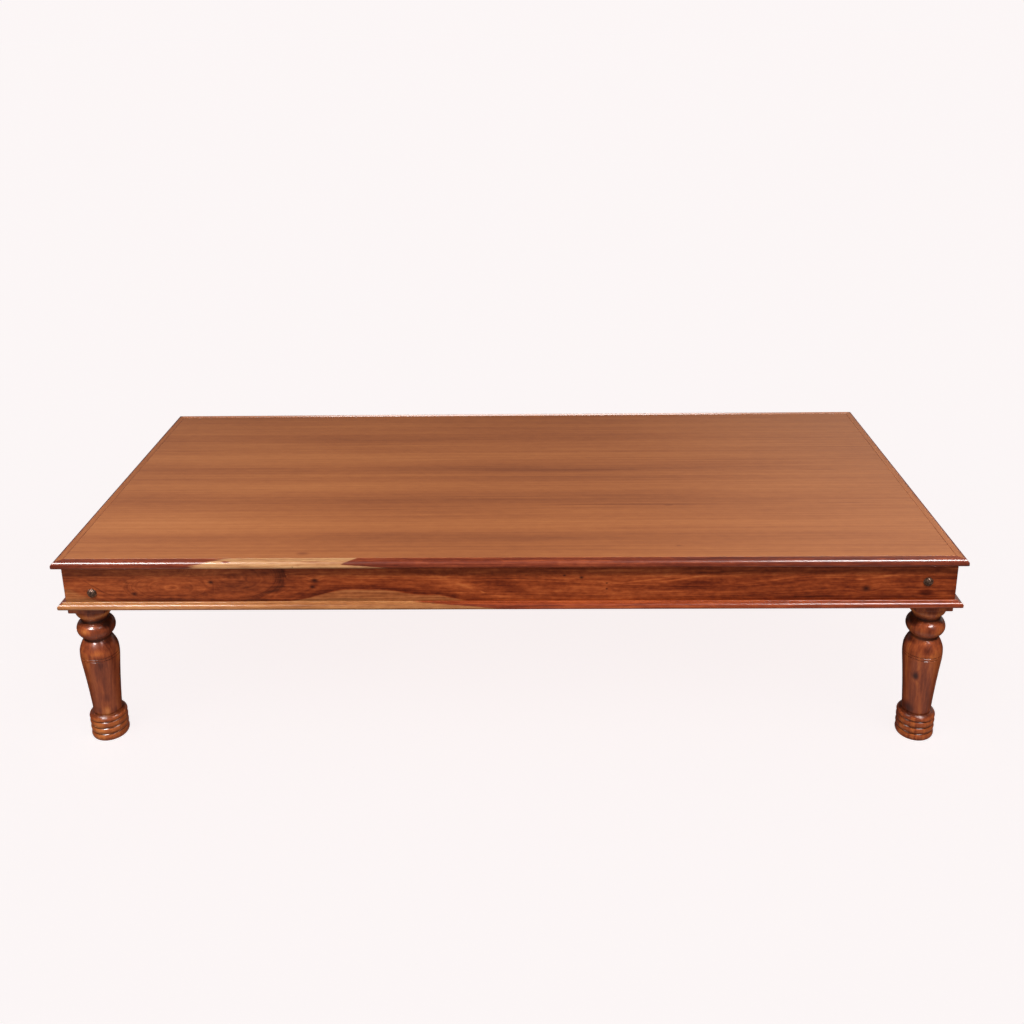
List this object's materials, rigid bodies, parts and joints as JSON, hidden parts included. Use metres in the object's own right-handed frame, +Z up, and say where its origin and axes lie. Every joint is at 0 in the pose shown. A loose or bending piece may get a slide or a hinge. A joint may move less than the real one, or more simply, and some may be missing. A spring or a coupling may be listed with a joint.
{
  "type": "low platform bench",
  "caption": "Low rectangular wooden platform for sitting or lying on, with a mitred rounded edge, deep aprons, a lower moulding and turned vase-shaped corner legs.",
  "frame": {"origin": "on the floor, under the middle of the platform", "axes": "+Z up, +X along the length, +Y from the front to the back"},
  "size_m": [1.98, 0.915, 0.465],
  "materials": {
    "veneered_board": "satin lacquer",
    "sheesham_moulding": "gloss lacquer",
    "sheesham_rail": "satin lacquer",
    "sheesham_turned": "gloss lacquer",
    "frame_wood": "bare sawn",
    "dark_bronze_bolt": "antique bronze",
    "plain_steel": "zinc plated"
  },
  "bodies": {
    "root": {"top_panel": "veneered_board", "top_moulding_front": "sheesham_moulding", "apron_front": "sheesham_rail", "lower_moulding_front": "sheesham_moulding", "top_moulding_right": "sheesham_moulding", "apron_right": "sheesham_rail", "lower_moulding_right": "sheesham_moulding", "top_moulding_back": "sheesham_moulding", "apron_back": "sheesham_rail", "lower_moulding_back": "sheesham_moulding", "top_moulding_left": "sheesham_moulding", "apron_left": "sheesham_rail", "lower_moulding_left": "sheesham_moulding", "leg_front_left": "sheesham_turned", "leg_bolts_front_left": "dark_bronze_bolt", "leg_washers_front_left": "plain_steel", "leg_nuts_front_left": "plain_steel", "leg_front_right": "sheesham_turned", "leg_bolts_front_right": "dark_bronze_bolt", "leg_washers_front_right": "plain_steel", "leg_nuts_front_right": "plain_steel", "leg_back_right": "sheesham_turned", "leg_bolts_back_right": "dark_bronze_bolt", "leg_washers_back_right": "plain_steel", "leg_nuts_back_right": "plain_steel", "leg_back_left": "sheesham_turned", "leg_bolts_back_left": "dark_bronze_bolt", "leg_washers_back_left": "plain_steel", "leg_nuts_back_left": "plain_steel", "bearer_1": "frame_wood", "bearer_2": "frame_wood", "bearer_3": "frame_wood", "bearer_4": "frame_wood", "ledger_front": "frame_wood", "ledger_back": "frame_wood", "end_cleat_left": "frame_wood", "end_cleat_right": "frame_wood", "panel_screws": "plain_steel", "bearer_screws": "plain_steel", "cleat_screws": "plain_steel"}
  },
  "joints": []
}
